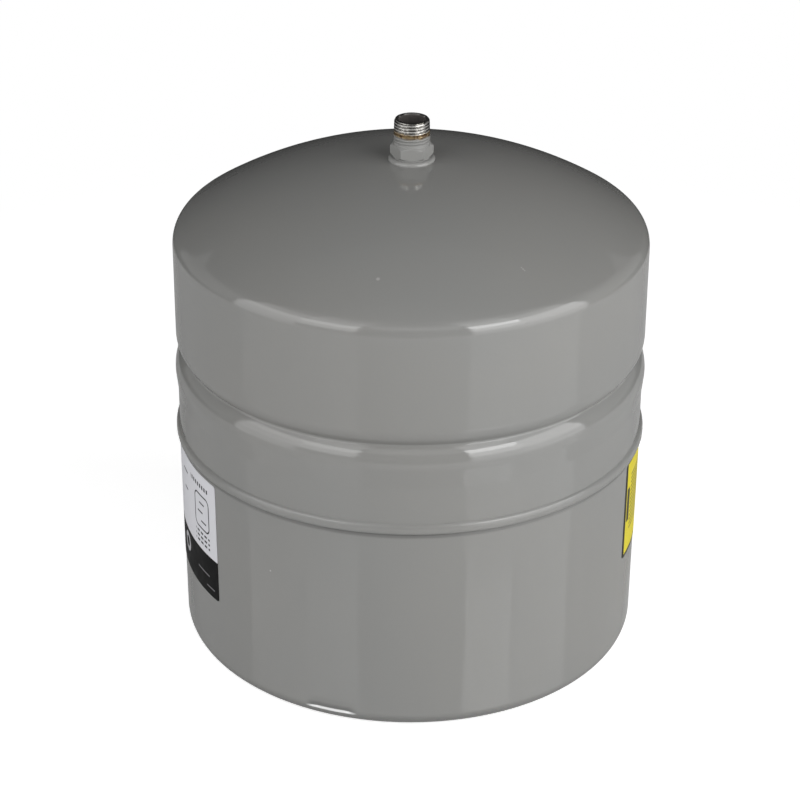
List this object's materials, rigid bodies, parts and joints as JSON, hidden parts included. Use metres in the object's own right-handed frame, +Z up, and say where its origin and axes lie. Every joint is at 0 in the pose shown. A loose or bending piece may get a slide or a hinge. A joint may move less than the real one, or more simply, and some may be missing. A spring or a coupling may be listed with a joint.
{
  "type": "diaphragm expansion tank",
  "caption": "Pressed steel expansion tank for a heating circuit, with a rolled groove, a threaded nipple on the crown and an air valve under the dished base.",
  "frame": {"origin": "on the floor, on the tank's axis, at the standing land of the base", "axes": "+Z up along the tank's axis towards the nipple; -Y is the side facing the viewer"},
  "size_m": [0.2872, 0.2872, 0.332],
  "materials": {
    "grey_paint": "semi-gloss grey enamel",
    "bare_steel": "machined, part painted, with a rusty thread root",
    "plain_steel": "plain",
    "butyl_rubber": "matt black",
    "seal_rubber": "matt black",
    "brass": "turned",
    "black_plastic": "moulded",
    "label_white": "printed film",
    "label_yellow": "printed film"
  },
  "bodies": {
    "tank": {"upper_shell": "grey_paint", "lower_shell": "grey_paint", "seam_weld": "grey_paint", "system_nipple": "bare_steel", "diaphragm": "butyl_rubber", "clench_ring": "plain_steel", "valve_boss": "plain_steel", "valve_stem": "brass", "core_plug": "brass", "core_barrel": "brass", "core_gasket": "seal_rubber", "core_spring": "plain_steel", "main_label": "label_white", "side_label": "label_yellow"},
    "valve_pin": {"core_pin": "plain_steel", "core_cup": "brass", "core_seal": "seal_rubber"},
    "cap_seal": {"cap_washer": "seal_rubber"},
    "cap": {"valve_cap": "black_plastic"}
  },
  "joints": [
    {"name": "pin_press", "type": "slide", "parent": "tank", "child": "valve_pin", "axis": [0, 0, 1], "range_m": [0, 0.0015], "stiffness_N_per_m": 1500, "springref_m": -0.0015, "deforming": ["core_spring"]},
    {"name": "cap_travel", "type": "slide", "parent": "tank", "child": "cap_seal", "axis": [0, 0, -1], "range_m": [0, 0.00476]},
    {"name": "cap_turn", "type": "hinge", "parent": "cap_seal", "child": "cap", "pos_m": [0, 0, 0.011], "axis": [0, 0, -1], "range_deg": [0, 2160]}
  ],
  "couplings": [
    {"joint": "cap_turn", "follows": "cap_travel", "rad_per_m": 7915.7}
  ]
}
